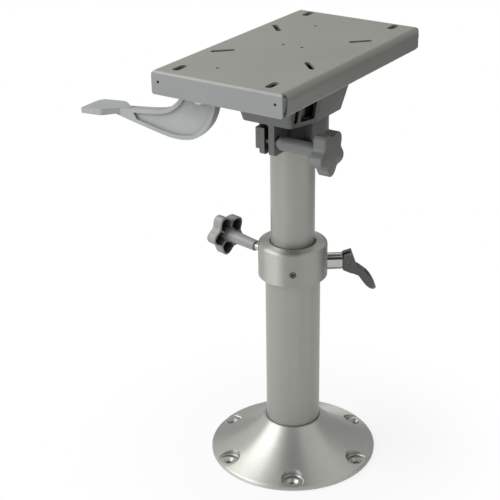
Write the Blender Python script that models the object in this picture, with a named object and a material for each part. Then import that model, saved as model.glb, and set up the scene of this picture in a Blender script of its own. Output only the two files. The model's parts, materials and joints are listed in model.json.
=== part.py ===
"""Boat seat pedestal: a round cast foot, a telescoping aluminium post with a cam plunger and a tension
knob in its collar, and a swivelling head casting that carries a sliding, folded seat plate.

Metres, +Z up. The origin is the middle of the foot's underside, on the post's axis. +X points to the
front edge of the seat plate. Each moving piece is parented to an empty on its joint's axis.
"""

import math

import bmesh
import bpy
from mathutils import Matrix, Vector

MM = 0.001
DEG = math.pi / 180

# Clearances
SEAT_GAP = 0.3 * MM  # between faces that touch
RUN_GAP = 0.3 * MM  # radial play of a piece that turns or slides in another

# Foot
FOOT_R = 114.3 * MM
FOOT_RIM = 6.0 * MM
FOOT_SKIN = 6.0 * MM
FOOT_LAND = 10.0 * MM  # solid width of the rim under the foot
FOOT_FLOOR = 8.0 * MM
NECK_Z = 52.0 * MM
FLARE_R, FLARE_Z = 66.0 * MM, 20.0 * MM  # control point of the bell curve
SOCKET_WALL = 10.0 * MM
HOLE_COUNT = 6
HOLE_CIRCLE_R = 101.6 * MM
HOLE_FIRST_AZ = 31.2 * DEG
HOLE_R = 3.8 * MM
SINK_R = 8.0 * MM
SINK_DEPTH = 3.0 * MM
POCKET_R = 15.5 * MM
POCKET_FLOOR = 6.3 * MM
BOSS_WALL = 4.0 * MM
RIB = 4.0 * MM

# Post tubes
OUTER_R = 36.5 * MM
OUTER_WALL = 3.5 * MM
OUTER_TOP = 309.0 * MM
BUSH_WALL = 3.4 * MM
INNER_R = OUTER_R - OUTER_WALL - SEAT_GAP - BUSH_WALL - RUN_GAP
INNER_WALL = 2.5 * MM
INNER_BOTTOM = 150.0 * MM
NECK_R = OUTER_R + 4.5 * MM  # of the foot
HEIGHT_UP = 40.0 * MM
HEIGHT_DOWN = 110.0 * MM

# Collar and its guide bushing
COLLAR_R = OUTER_R + 9.3 * MM
COLLAR_LIP = 4.5 * MM
COLLAR_EDGE = 4.5 * MM
LIP_GAP = 1.3 * MM
BUSH_FLANGE = 3.4 * MM
COLLAR_TOP = OUTER_TOP + SEAT_GAP + BUSH_FLANGE + SEAT_GAP + COLLAR_LIP
COLLAR_BOTTOM = COLLAR_TOP - 48.0 * MM
BUSH_BOTTOM = COLLAR_TOP - 77.5 * MM
FOOT_BUSH = 25.0 * MM
FOOT_BUSH_CAP = 3.0 * MM

# Grub screw
GRUB_AZ = 31.6 * DEG
GRUB_Z = COLLAR_TOP - 29.5 * MM
GRUB_R = 4.2 * MM
GRUB_SUNK = 0.8 * MM
GRUB_HEX = 4.0 * MM
GRUB_HEX_DEEP = 3.0 * MM

# Cam plunger
PLUNGER_AZ = 126.7 * DEG
PLUNGER_Z = COLLAR_TOP - 32.2 * MM
BARREL_R = 11.3 * MM
BARREL_END = COLLAR_R + 19.4 * MM
BARREL_SEAT = COLLAR_R - 2.0 * MM
SPIGOT_R = 8.0 * MM
CHAMBER_R = 6.9 * MM
PIN_R = 5.0 * MM
PIN_REACH = 1.8 * MM  # how far the pin's tip stands into the wall of the inner tube
PIN_COLLAR_R = 6.5 * MM
PIN_COLLAR = 2.0 * MM
CHAMBER = (COLLAR_R - 5.8 * MM, BARREL_END - 3.7 * MM)
TANG = 5.4 * MM
TANG_HIGH = 6.6 * MM
TANG_BEYOND = 4.0 * MM
CAM_FLAT = 7.0 * MM  # pivot to the flat that lies on the barrel's end
CAM_THROW = 7.0 * MM  # how far a quarter turn draws the pin
CAM_PIN_R = 2.0 * MM
LEVER_W = 21.0 * MM
PADDLE_W = 26.0 * MM
WAIST_W = 15.0 * MM
CAM_CORNER = 37 * DEG  # how far the involute runs before the block's straight top
SCOOP_DEPTH = 3.2 * MM

# Star knobs
KNOB_LOBES = 5
KNOB_R = 29.5 * MM
KNOB_VALLEY_R = 21.4 * MM
KNOB_WALL = 2.6 * MM
KNOB_BOSS_R = 10.6 * MM
KNOB_HOLLOW = 13.0 * MM
KNOB_RIB = 2.4 * MM
STUD_R = 5.0 * MM
STUD_IN_KNOB = 14.0 * MM
PAD_R = 6.0 * MM
PAD_LEN = 6.7 * MM
KNOB_TRAVEL = 3.0 * MM  # two turns of an M10 thread

# Tension knob on the collar
TENSION_AZ = -103.3 * DEG
TENSION_Z = COLLAR_TOP - 30.5 * MM
TENSION_STEM = (COLLAR_R + 23.8 * MM, COLLAR_R + 76.4 * MM)
TENSION_STEM_R = (7.4 * MM, 8.7 * MM)
TENSION_HEAD = 17.5 * MM
TENSION_LOBE_AT = 14.0 * DEG

# Heights of the head and of the tube that it turns on
HEAD_TOP = 555.0 * MM
INNER_TOP = HEAD_TOP - 15.0 * MM

# Swivel clamp knob on the head
CLAMP_X = 53.6 * MM
CLAMP_Z = HEAD_TOP - 83.0 * MM
CLAMP_STEM_END = 73.0 * MM
CLAMP_STEM_R = (9.2 * MM, 8.2 * MM)
CLAMP_NOSE = 9.0 * MM
CLAMP_HEAD = 17.5 * MM
CLAMP_LOBE_AT = 67.0 * DEG
WASHER = 1.2 * MM
WASHER_R = 7.5 * MM

# Head casting
HUB_R = INNER_R + 14.0 * MM
HUB_BACK = 5.5 * MM  # the hub is drawn out this far to the rear
HUB_BOTTOM = HEAD_TOP - 99.0 * MM
SKIRT_BOTTOM = HEAD_TOP - 60.0 * MM
HEAD_DECK = 8.0 * MM
SKIRT_WALL = 5.0 * MM
SKIRT_REAR = 43.0 * MM
SKIRT_HALF = 48.0 * MM
SKIRT_SHOULDER_X = 20.0 * MM
SKIRT_FRONT = 61.5 * MM
SKIRT_FRONT_HALF = 35.4 * MM
DRAFT = 0.224
DRAFT_FRONT = 0.32
SLEEVE_R = INNER_R + 10.0 * MM
EAR_SLOT = 6.1 * MM
EAR_RIGHT = 8.35 * MM
EAR_LEFT = 7.3 * MM
EAR_BOTTOM = HUB_BOTTOM - 0.7 * MM
EAR_LEFT_TOP = SKIRT_BOTTOM - 5.3 * MM
EAR_SLIT = 3.3 * MM
NUT_T = 5.5 * MM
NUT_X = (45.0 * MM, 61.3 * MM)
NUT_Z = (HUB_BOTTOM + 5.6 * MM, HUB_BOTTOM + 33.5 * MM)
THRUST = 2.0 * MM

# Slide carriage, glides and bolts
CARRIAGE = 4.0 * MM
CARRIAGE_REAR = 86.0 * MM
CARRIAGE_HALF = 82.0 * MM
GLIDE_LEN = 44.0 * MM
GLIDE_AT = 61.0 * MM
GLIDE_IN = 75.0 * MM
BOLT_R = 4.0 * MM
BOLT_HEX = 13.0 * MM
BOLT_HEAD = 5.3 * MM
BOLT_LEN = 14.0 * MM
BOLT_REAR = (-42.0 * MM, 47.0 * MM)
BOLT_FRONT = (46.0 * MM, 42.0 * MM)

# Seat plate
SHEET = 3.0 * MM
PLATE_RISE = 14.6 * MM  # from the carriage up to the sheet
PLATE_TOP = HEAD_TOP + SEAT_GAP + CARRIAGE + PLATE_RISE + SHEET
PLATE_FRONT = 167.7 * MM
PLATE_REAR = -164.4 * MM
PLATE_HALF = 93.9 * MM
PLATE_BEND = 9.0 * MM
PLATE_LOW_HALF = 91.1 * MM
PLATE_BOTTOM = PLATE_TOP - 28.7 * MM
PLATE_LIP = 7.0 * MM
END_HALF = 90.1 * MM
END_CORNER = 5.0 * MM
END_BEND = 3.6 * MM
SIDE_SHORT = 6.4 * MM  # how far the long sides stop before the end flanges
SCREW_R = 1.75 * MM
SCREW_Y = 80.6 * MM
SCREW_DOWN = 13.0 * MM
CORNER_SLOT = (24.0 * MM, 9.2 * MM)
CORNER_SLOT_X = (143.0 * MM, -148.0 * MM)
CORNER_SLOT_Y = (-66.5 * MM, 61.5 * MM)
CROSS_SLOT = (31.0 * MM, 7.4 * MM)
CROSS_AT = (-4.0 * MM, -2.5 * MM)
CROSS_HALF = 61.5 * MM
SMALL_HOLE_R = 2.2 * MM
SMALL_HOLES = (
    (-4.0 * MM, -15.8 * MM),
    (-4.0 * MM, 11.0 * MM),
    (-100.0 * MM, -26.7 * MM),
    (121.1 * MM, -28.2 * MM),
)

# Slide lever
LEVER_X = 136.0 * MM  # middle of its thickness
LEVER_T = 12.0 * MM
LEVER_Y = -41.0 * MM
LEVER_Z = HEAD_TOP - 10.0 * MM
CAM_OFFSET = 5.0 * MM
CAM_LEAN = 30.0 * DEG
LOCK_GAP = 1.5 * MM  # the lock's cam stands this far under the sheet
WEB_T = 5.0 * MM
WEB_RIM = 5.0 * MM
WEB_TAIL = -107.0 * MM  # where, from the pivot, the recess in the blade ends, towards the finger plate
LEVER_BOLT_R = 5.0 * MM
LEVER_BOLT_HEAD_R = 8.5 * MM
LEVER_BOLT_HEAD = 3.0 * MM
LEVER_NUT_HEX = 16.0 * MM
LEVER_NUT = 6.0 * MM
LUG_T = 5.0 * MM
LUG_HALF = 20.0 * MM
LUG_DOWN = 12.0 * MM
HANDLE_W = 41.0 * MM

ROUND = 40
SMALL_ROUND = 20


def start():
    for obj in list(bpy.data.objects):
        bpy.data.objects.remove(obj, do_unlink=True)


def surface(name, colour, metallic, roughness):
    mat = bpy.data.materials.new(name)
    mat.use_nodes = True
    shader = mat.node_tree.nodes["Principled BSDF"]
    shader.inputs["Base Color"].default_value = (*colour, 1.0)
    shader.inputs["Metallic"].default_value = metallic
    shader.inputs["Roughness"].default_value = roughness
    mat.diffuse_color = (*colour, 1.0)
    return mat


def frame(name, at=(0, 0, 0), turn=(0, 0, 0), parent=None):
    """An empty that carries one body; its children are placed in its own axes."""
    empty = bpy.data.objects.new(name, None)
    empty.empty_display_size = 0.02
    bpy.context.scene.collection.objects.link(empty)
    empty.location, empty.rotation_euler, empty.parent = at, turn, parent
    return empty


def solid(name, bm, parent=None, mat=None, at=(0, 0, 0), turn=(0, 0, 0), sharp=35 * DEG):
    bm.normal_update()
    bmesh.ops.recalc_face_normals(bm, faces=bm.faces)
    mesh = bpy.data.meshes.new(name)
    bm.to_mesh(mesh)
    bm.free()
    mesh.shade_smooth()
    mesh.set_sharp_from_angle(angle=sharp)
    obj = bpy.data.objects.new(name, mesh)
    bpy.context.scene.collection.objects.link(obj)
    obj.location, obj.rotation_euler, obj.parent = at, turn, parent
    if mat:
        mesh.materials.append(mat)
    return obj


def combine(obj, tool, operation):
    """A Boolean on obj; tool is a helper and isn't part of the model."""
    modifier = obj.modifiers.new(operation.title(), "BOOLEAN")
    modifier.object, modifier.operation, modifier.solver = tool, operation, "EXACT"
    tool.hide_render, tool.display_type = True, "WIRE"


def cut(obj, *tools):
    for tool in tools:
        combine(obj, tool, "DIFFERENCE")


def join(obj, *tools):
    for tool in tools:
        combine(obj, tool, "UNION")


def turned(profile, steps=ROUND, bm=None):
    """Sweeps an (r, z) profile round the local Z axis. A profile that starts and ends on the axis is
    left open there, any other is a closed loop."""
    bm = bm or bmesh.new()
    verts = [bm.verts.new((r, 0, z)) for r, z in profile]
    on_axis = profile[0][0] == 0 and profile[-1][0] == 0
    pairs = zip(verts, verts[1:] + ([] if on_axis else verts[:1]))
    edges = [bm.edges.new(pair) for pair in pairs]
    bmesh.ops.spin(
        bm, geom=verts + edges, cent=(0, 0, 0), axis=(0, 0, 1), angle=2 * math.pi, steps=steps, use_merge=True
    )
    bmesh.ops.remove_doubles(bm, verts=bm.verts, dist=1e-7)
    return bm


def prism(outline, low, high, bm=None):
    """Extrudes a closed (x, y) outline from low to high along local Z."""
    bm = bm or bmesh.new()
    face = bm.faces.new([bm.verts.new((x, y, low)) for x, y in outline])
    made = bmesh.ops.extrude_face_region(bm, geom=[face])["geom"]
    bmesh.ops.translate(
        bm, verts=[v for v in made if isinstance(v, bmesh.types.BMVert)], vec=(0, 0, high - low)
    )
    return bm


def loft(lower, upper, low, high, bm=None):
    """Joins two outlines that have the same number of points."""
    bm = bm or bmesh.new()
    rings = [[bm.verts.new((x, y, z)) for x, y in ring] for ring, z in ((lower, low), (upper, high))]
    for ring in rings:
        bm.faces.new(ring)
    count = len(lower)
    for i in range(count):
        j = (i + 1) % count
        bm.faces.new((rings[0][i], rings[0][j], rings[1][j], rings[1][i]))
    return bm


def along_x(bm):
    """Turns a prism drawn in (y, z) so that it runs along X."""
    bm.transform(Matrix(((0, 0, 1, 0), (1, 0, 0, 0), (0, 1, 0, 0), (0, 0, 0, 1))))
    return bm


def along_y(bm):
    """Turns a prism drawn in (x, z) so that it runs along Y."""
    bm.transform(Matrix(((1, 0, 0, 0), (0, 0, 1, 0), (0, 1, 0, 0), (0, 0, 0, 1))))
    return bm


def box(x0, x1, y0, y1, z0, z1, bm=None):
    return prism(((x0, y0), (x1, y0), (x1, y1), (x0, y1)), z0, z1, bm)


def rod(radius, low, high, steps=SMALL_ROUND, chamfer=0.0):
    """A round bar on local Z, its ends chamfered."""
    c = chamfer
    if c:
        return turned(
            [
                (0, low), (radius - c, low), (radius, low + c), (radius, high - c), (radius - c, high),
                (0, high)
            ],
            steps
        )
    return turned([(0, low), (radius, low), (radius, high), (0, high)], steps)


def arc(cx, cy, radius, a0, a1, steps):
    return [
        (
            cx + radius * math.cos(a0 + (a1 - a0) * i / steps),
            cy + radius * math.sin(a0 + (a1 - a0) * i / steps)
        )
        for i in range(steps + 1)
    ]


def stadium(length, width, at=(0, 0), turn=0.0, steps=8):
    """A slot outline: length over its round ends, width across."""
    half, r = (length - width) / 2, width / 2
    points = arc(half, 0, r, -math.pi / 2, math.pi / 2, steps) + arc(
        -half, 0, r, math.pi / 2, 3 * math.pi / 2, steps
    )
    c, s = math.cos(turn), math.sin(turn)
    return [(at[0] + x * c - y * s, at[1] + x * s + y * c) for x, y in points]


def rounded(points, radii, steps=4):
    """A polygon with each corner replaced by an arc that is tangent to both of its edges."""
    out, count = [], len(points)
    for i, point in enumerate(points):
        r = radii[i] if hasattr(radii, "__len__") else radii
        p = Vector(point)
        back, ahead = (Vector(points[i - 1]) - p).normalized(), (
            Vector(points[(i + 1) % count]) - p
        ).normalized()
        angle = back.angle(ahead)
        if r <= 0 or angle > math.pi - 0.01:
            out.append(tuple(p))
            continue
        start_at, end_at = p + back * r / math.tan(angle / 2), p + ahead * r / math.tan(angle / 2)
        centre = p + (back + ahead).normalized() * r / math.sin(angle / 2)
        a0 = math.atan2(*(start_at - centre).yx)
        a1 = math.atan2(*(end_at - centre).yx)
        a1 += 2 * math.pi * round((a0 - a1) / (2 * math.pi))
        out += arc(*centre, r, a0, a1, steps)
    return out


def beside(path, distance):
    """An open path moved to its left by the same distance all along."""
    points = [Vector(p) for p in path]
    other = []
    for i, p in enumerate(points):
        before = (p - points[i - 1]).normalized() if i else None
        after = (points[i + 1] - p).normalized() if i + 1 < len(points) else None
        before, after = before or after, after or before
        n0, n1 = Vector((-before.y, before.x)), Vector((-after.y, after.x))
        middle = (n0 + n1).normalized()
        other.append(tuple(p + middle * distance / middle.dot(n0)))
    return other


def sheet(path, thickness):
    """The outline of a folded strip: the path is one face, the other lies a thickness to its left."""
    return [tuple(p) for p in path] + beside(path, thickness)[::-1]


def spline(points, per_span=4):
    """Points along a smooth curve through the given ones."""
    out, last = [], len(points) - 1
    for i in range(last):
        p0, p1, p2, p3 = (Vector(points[max(0, min(last, k))]) for k in (i - 1, i, i + 1, i + 2))
        for step in range(per_span):
            t = step / per_span
            out.append(
                tuple(
                    0.5
                    * (
                        2 * p1 + (p2 - p0) * t + (
                            2 * p0 - 5 * p1 + 4 * p2 - p3
                        ) * t**2 + (3 * p1 - p0 - 3 * p2 + p3) * t**3
                    )
                )
            )
    return out + [tuple(points[-1])]


ACROSS = (0, 90 * DEG, 0)  # lays a turned piece along its frame's X


def copies(make, places):
    """One mesh with a copy of make() at each place; the copies don't meet."""
    whole = bmesh.new()
    for place in places:
        one = make()
        one.transform(place)
        mesh = bpy.data.meshes.new("copy")
        one.to_mesh(mesh)
        one.free()
        whole.from_mesh(mesh)
        bpy.data.meshes.remove(mesh)
    return whole


def shifted(x=0.0, y=0.0, z=0.0):
    return Matrix.Translation((x, y, z))


def about_z(angle):
    return Matrix.Rotation(angle, 4, "Z")


def drill(name, radius, low, high, azimuth, z, parent=None):
    """A cutter along the line that leaves the post's axis at this azimuth and height."""
    return solid(name, rod(radius, low, high), parent, at=(0, 0, z), turn=(0, 90 * DEG, azimuth))


def mirrored_y(bm):
    bm.transform(Matrix.Diagonal((1, -1, 1, 1)))
    return bm


def hexagon(across_flats):
    r = across_flats / math.sqrt(3)
    return [(r * math.cos(60 * DEG * i), r * math.sin(60 * DEG * i)) for i in range(6)]


def flare(steps=8):
    """The bell curve from the rim up to the neck, as (r, z)."""
    p0 = Vector((FOOT_R - 1.5 * MM, FOOT_RIM + 0.8 * MM))
    p1, p2 = Vector((FLARE_R, FLARE_Z)), Vector((NECK_R, NECK_Z))
    return [
        p0 * (1 - t) ** 2 + 2 * p1 * t * (1 - t) + p2 * t**2
        for t in (i / steps for i in range(steps + 1))
    ]


def foot(mats):
    bore, curve, edge = OUTER_R + SEAT_GAP, flare(), 1.0 * MM
    outside = [(0, 0), (FOOT_R - edge, 0), (FOOT_R, edge), (FOOT_R, FOOT_RIM - edge)]
    outside += [tuple(p) for p in curve]
    outside += [
        (NECK_R - edge, NECK_Z + edge), (bore + edge, NECK_Z + edge), (bore, NECK_Z),
        (bore, FOOT_FLOOR), (0, FOOT_FLOOR)
    ]
    body = solid("base_flange", turned(outside, 50), mat=mats["anodised"], sharp=25 * DEG)

    # The underside is hollow between the socket and the rim, under a skin of even thickness.
    low, high = bore + SOCKET_WALL, FOOT_R - FOOT_LAND
    under = []
    for before, p, after in zip(curve, curve[1:], curve[2:]):
        along = (after - before).normalized()
        q = p + Vector((-along.y, along.x)) * FOOT_SKIN
        if low < q.x < high:
            under.append(tuple(q))
    ceiling = [(high, max(under[0][1] - 2 * MM, 1.5 * MM))] + under + [(low, under[-1][1] + 3 * MM)]
    hollow = solid("foot_hollow", turned([(low, -MM), (high, -MM)] + ceiling, 36))
    around = [about_z(HOLE_FIRST_AZ + 2 * math.pi * i / HOLE_COUNT) for i in range(HOLE_COUNT)]
    at_holes = [turn @ shifted(HOLE_CIRCLE_R) for turn in around]
    cut(
        hollow,
        solid("foot_bosses", copies(lambda: rod(POCKET_R + BOSS_WALL, -3 * MM, NECK_Z, 18), at_holes)),
        solid(
            "foot_ribs",
            copies(lambda: box(low - 2 * MM, HOLE_CIRCLE_R, -RIB / 2, RIB / 2, -3 * MM, NECK_Z), around)
        ),
    )

    # Each screw has a pocket sunk straight down into the flare, a countersink and a hole.
    corner = 1.5 * MM
    pocket = [(0, -MM), (HOLE_R, -MM), (HOLE_R, POCKET_FLOOR - SINK_DEPTH), (SINK_R, POCKET_FLOOR)]
    pocket += [
        (POCKET_R - corner, POCKET_FLOOR), (POCKET_R, POCKET_FLOOR + corner), (POCKET_R, NECK_Z),
        (0, NECK_Z)
    ]
    cut(body, hollow, solid("foot_pockets", copies(lambda: turned(pocket, 20), at_holes)))


def outer_post(mats):
    """The fixed tube, the guide bushing at its top and the collar over both."""
    tube_in = OUTER_R - OUTER_WALL
    low = FOOT_FLOOR + SEAT_GAP
    tube = solid(
        "outer_tube",
        turned([(OUTER_R, low), (OUTER_R, OUTER_TOP), (tube_in, OUTER_TOP), (tube_in, low)]),
        mat=mats["anodised"]
    )

    bush_in, bush_out, bush_top = INNER_R + RUN_GAP, tube_in - SEAT_GAP, OUTER_TOP + SEAT_GAP + BUSH_FLANGE
    flange_r = OUTER_R - SEAT_GAP
    bushing = solid(
        "guide_bushing",
        turned(
            [
                (bush_in, BUSH_BOTTOM),
                (bush_out, BUSH_BOTTOM),
                (bush_out, OUTER_TOP + SEAT_GAP),
                (flange_r, OUTER_TOP + SEAT_GAP),
                (flange_r, bush_top),
                (bush_in, bush_top),
            ]
        ),
        mat=mats["nylon"],
    )

    bore, lip_r, edge = OUTER_R + SEAT_GAP, INNER_R + LIP_GAP, 0.8 * MM
    lip_z = bush_top + SEAT_GAP
    profile = [
        (bore, COLLAR_BOTTOM), (COLLAR_R - edge, COLLAR_BOTTOM), (COLLAR_R, COLLAR_BOTTOM + edge)
    ]
    profile += arc(COLLAR_R - COLLAR_EDGE, COLLAR_TOP - COLLAR_EDGE, COLLAR_EDGE, 0, math.pi / 2, 4)
    profile += [(lip_r + edge, COLLAR_TOP), (lip_r, COLLAR_TOP - edge), (lip_r, lip_z), (bore, lip_z)]
    collar = solid("collar", turned(profile, 60), mat=mats["anodised"])

    pad_back = INNER_R + RUN_GAP + PAD_LEN
    reach = (INNER_R - 3 * MM, COLLAR_R + 5 * MM)
    cut(tube, drill("pin_hole_tube", PIN_R + 0.4 * MM, *reach, PLUNGER_AZ, PLUNGER_Z))
    cut(tube, drill("pad_hole_tube", PAD_R + RUN_GAP, *reach, TENSION_AZ, TENSION_Z))
    cut(bushing, drill("pin_hole_bush", PIN_R + 0.4 * MM, *reach, PLUNGER_AZ, PLUNGER_Z))
    cut(bushing, drill("pad_hole_bush", PAD_R + RUN_GAP, *reach, TENSION_AZ, TENSION_Z))
    cut(
        collar,
        drill("barrel_thread", SPIGOT_R + SEAT_GAP, *reach, PLUNGER_AZ, PLUNGER_Z),
        drill(
            "barrel_spotface", BARREL_R + SEAT_GAP, BARREL_SEAT - SEAT_GAP, BARREL_END, PLUNGER_AZ,
            PLUNGER_Z
        ),
        drill("stud_thread", STUD_R + RUN_GAP, *reach, TENSION_AZ, TENSION_Z),
        drill(
            "pad_counterbore", PAD_R + RUN_GAP, reach[0], pad_back + KNOB_TRAVEL + RUN_GAP, TENSION_AZ,
            TENSION_Z
        ),
        drill("grub_thread", GRUB_R + SEAT_GAP, *reach, GRUB_AZ, GRUB_Z),
    )

    screw_end = COLLAR_R - GRUB_SUNK
    place = {"at": (0, 0, GRUB_Z), "turn": (0, 90 * DEG, GRUB_AZ)}
    screw = solid(
        "grub_screw", rod(GRUB_R, OUTER_R + SEAT_GAP, screw_end, chamfer=0.6 * MM), mat=mats["steel"],
        **place
    )
    cut(
        screw,
        solid(
            "grub_socket", prism(hexagon(GRUB_HEX), screw_end - GRUB_HEX_DEEP, screw_end + MM), **place
        )
    )


def plunger(mats):
    """The barrel in the collar, the pin that it guides and the cam lever that draws the pin."""
    pin_bore, edge = PIN_R + RUN_GAP, 0.6 * MM
    inner_end = OUTER_R + 0.6 * MM
    profile = [
        (pin_bore, inner_end), (SPIGOT_R, inner_end), (SPIGOT_R, BARREL_SEAT),
        (BARREL_R - edge, BARREL_SEAT)
    ]
    profile += [
        (BARREL_R, BARREL_SEAT + edge), (BARREL_R, BARREL_END - edge), (BARREL_R - edge, BARREL_END),
        (pin_bore, BARREL_END)
    ]
    profile += [
        (pin_bore, CHAMBER[1]), (CHAMBER_R, CHAMBER[1]), (CHAMBER_R, CHAMBER[0]), (pin_bore, CHAMBER[0])
    ]
    place = {"at": (0, 0, PLUNGER_Z), "turn": (0, 90 * DEG, PLUNGER_AZ)}
    solid("plunger_barrel", turned(profile, 32), mat=mats["chrome"], **place)

    axis = frame("plunger_axis", at=(0, 0, PLUNGER_Z), turn=(0, 0, PLUNGER_AZ))
    pivot = BARREL_END + SEAT_GAP + CAM_FLAT
    tip, end = INNER_R - PIN_REACH, pivot + TANG_BEYOND
    stop = CHAMBER[0] + SEAT_GAP
    lead = 1.0 * MM
    profile = [(0, tip), (PIN_R - lead, tip), (PIN_R, tip + lead), (PIN_R, stop), (PIN_COLLAR_R, stop)]
    profile += [
        (PIN_COLLAR_R, stop + PIN_COLLAR), (PIN_R, stop + PIN_COLLAR), (PIN_R, end - lead),
        (PIN_R - lead, end), (0, end)
    ]
    pin = solid("plunger_pin", turned(profile, SMALL_ROUND), axis, mats["chrome"], turn=ACROSS)
    flat_from = pivot - CAM_FLAT - CAM_THROW - 1.5 * MM  # the flats clear the lever's cheeks at full throw
    wide = 2 * PIN_R
    for side, half in (("side", TANG / 2), ("top", TANG_HIGH / 2)):
        for low, high in ((half, wide), (-wide, -half)):
            across = (low, high, -wide, wide) if side == "side" else (-wide, wide, low, high)
            cut(pin, solid("pin_flat_" + side, box(flat_from, end + MM, *across), axis))
    cut(
        pin,
        solid(
            "pin_eye", rod(CAM_PIN_R + RUN_GAP, -wide, wide), axis, at=(pivot, 0, 0),
            turn=(90 * DEG, 0, 0)
        )
    )

    half = LEVER_W / 2 - SEAT_GAP
    cross = {"at": (pivot, 0, 0), "turn": (90 * DEG, 0, 0)}
    solid("cam_pivot_pin", rod(CAM_PIN_R, -half, half, 16), axis, mats["steel"], **cross)

    # The lever turns about this frame: X points away from the post, Z up.
    turn = frame("cam_axis", at=(pivot, 0, 0), parent=axis)
    rate = CAM_THROW / (math.pi / 2)
    cam = []
    for i in range(5):  # an involute, so that the pin is drawn in proportion to the angle
        a = CAM_CORNER * i / 4
        h = CAM_FLAT + rate * a
        cam.append((rate * math.sin(a) - h * math.cos(a), h * math.sin(a) + rate * math.cos(a)))
    over = [(12.8, -7.2), (17.4, -9.9), (24.6, -16.2), (32.6, -26.4), (37.9, -35.8)]
    under = [(36.8, -42.2), (29.6, -37.4), (22.6, -30.2), (18.0, -24.2), (14.4, -19.6)]
    top, low = (spline([(x * MM, z * MM) for x, z in points], 3) for points in (over, under))
    tip_round = [(39.0 * MM, -40.0 * MM), (38.8 * MM, -42.0 * MM)]
    heel = [(-CAM_FLAT + MM, -9.9 * MM), (-CAM_FLAT, -9.0 * MM)]
    outline = cam + [(6.0 * MM, CAM_FLAT + CAM_THROW - 1.1 * MM)] + top + tip_round + low + heel
    lever = solid("cam_lever", along_y(prism(outline, -PADDLE_W, PADDLE_W)), turn, mats["dark"])
    b, w, p = LEVER_W / 2, WAIST_W / 2, PADDLE_W / 2
    side = [
        (12, b), (20, w + 0.6 * MM), (26, w + 1.8 * MM), (34, p - 0.8 * MM), (42, p),
        (50, p - 3.4 * MM), (55, p - 8.0 * MM)
    ]
    plan = [(-22 * MM, b)] + spline([(x * MM, y) for x, y in side], 3) + [(57 * MM, p - 11.4 * MM)]
    plan += [(x, -y) for x, y in reversed(plan)]
    lean = 46.8 * DEG  # from the pivot to the paddle's tip
    combine(
        lever, solid("lever_plan", prism(plan, -45 * MM, 45 * MM), turn, turn=(0, lean, 0)), "INTERSECT"
    )
    slot = TANG / 2 + RUN_GAP
    reach = TANG_HIGH / 2 + RUN_GAP
    cut(lever, solid("lever_slot", box(-30 * MM, reach, -slot, slot, -reach, 30 * MM), turn))
    swing = math.hypot(TANG_BEYOND, TANG_HIGH / 2) + RUN_GAP
    cut(lever, solid("tang_swing", rod(swing, -slot, slot), turn, turn=(90 * DEG, 0, 0)))
    cut(
        lever,
        solid("lever_pivot", rod(CAM_PIN_R + RUN_GAP, -wide * 2, wide * 2), turn, turn=(90 * DEG, 0, 0))
    )
    scoop = bmesh.new()
    bmesh.ops.create_uvsphere(scoop, u_segments=20, v_segments=10, radius=1.0)
    face, deep = 5.0 * MM, 6.0 * MM
    scoop.transform(Matrix.Diagonal((16.5 * MM, 12.4 * MM, deep, 1)))
    scoop.transform(shifted(39.5 * MM, 0, face + deep - SCOOP_DEPTH))
    cut(lever, solid("lever_scoop", scoop, turn, turn=(0, lean, 0)))


def star(lobe_at, inset=0.0, per_lobe=8):
    """A lobed outline, rounder at its lobes than in its valleys."""
    middle, swing, count = (
        KNOB_R + KNOB_VALLEY_R
    ) / 2, (KNOB_R - KNOB_VALLEY_R) / 2, KNOB_LOBES * per_lobe
    points = []
    for i in range(count):
        a = lobe_at + 2 * math.pi * i / count
        wave = math.cos(KNOB_LOBES * (a - lobe_at))
        r = middle + swing * wave - inset
        points.append((r * math.cos(a), r * math.sin(a)))
    return points


def knob(name, stem, base, head, lobe_at, parent, mat):
    """A moulded star knob on local Z. The stem is a turned profile that ends in the head, whose far face
    is closed and domed and whose near face is hollow between a boss and a rib at each valley."""
    bm = bmesh.new()
    levels = ((1.4, 0.0), (0.0, 1.2), (0.0, head / MM - 3.0), (1.0, head / MM - 1.1), (3.2, head / MM))
    rings = [
        [bm.verts.new((x, y, base + z * MM)) for x, y in star(lobe_at, inset * MM)] for inset,
        z in levels
    ]
    count = len(rings[0])
    bm.faces.new(rings[0])
    for lower, upper in zip(rings, rings[1:]):
        for i in range(count):
            j = (i + 1) % count
            bm.faces.new((lower[i], lower[j], upper[j], upper[i]))
    crown = bm.verts.new((0, 0, base + head + 0.9 * MM))
    for i in range(count):
        bm.faces.new((rings[-1][i], rings[-1][(i + 1) % count], crown))
    body = solid(name, bm, parent, mat, turn=ACROSS)

    step = 2 * math.pi / KNOB_LOBES
    middle, swing = (KNOB_R + KNOB_VALLEY_R) / 2, (KNOB_R - KNOB_VALLEY_R) / 2

    def pocket():
        outer_a = step / 2 - math.asin(KNOB_RIB / 2 / (KNOB_VALLEY_R - KNOB_WALL))
        inner_a = step / 2 - math.asin(KNOB_RIB / 2 / KNOB_BOSS_R)
        outline = []
        for i in range(9):
            a = -outer_a + 2 * outer_a * i / 8
            r = middle + swing * math.cos(KNOB_LOBES * a) - KNOB_WALL
            outline.append((r * math.cos(a), r * math.sin(a)))
        outline += arc(0, 0, KNOB_BOSS_R, inner_a, -inner_a, 3)
        return prism(outline, base - 2 * MM, base + KNOB_HOLLOW)

    cut(
        body,
        solid(
            name + "_pockets", copies(pocket, [about_z(lobe_at + step * i) for i in range(KNOB_LOBES)]),
            parent, turn=ACROSS
        )
    )
    join(body, solid(name + "_stem", turned(stem, SMALL_ROUND), parent, turn=ACROSS))
    low = stem[0][1]
    cut(
        body,
        solid(
            name + "_insert", rod(STUD_R + SEAT_GAP, low - MM, low + STUD_IN_KNOB + SEAT_GAP), parent,
            turn=ACROSS
        )
    )
    return body


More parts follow.
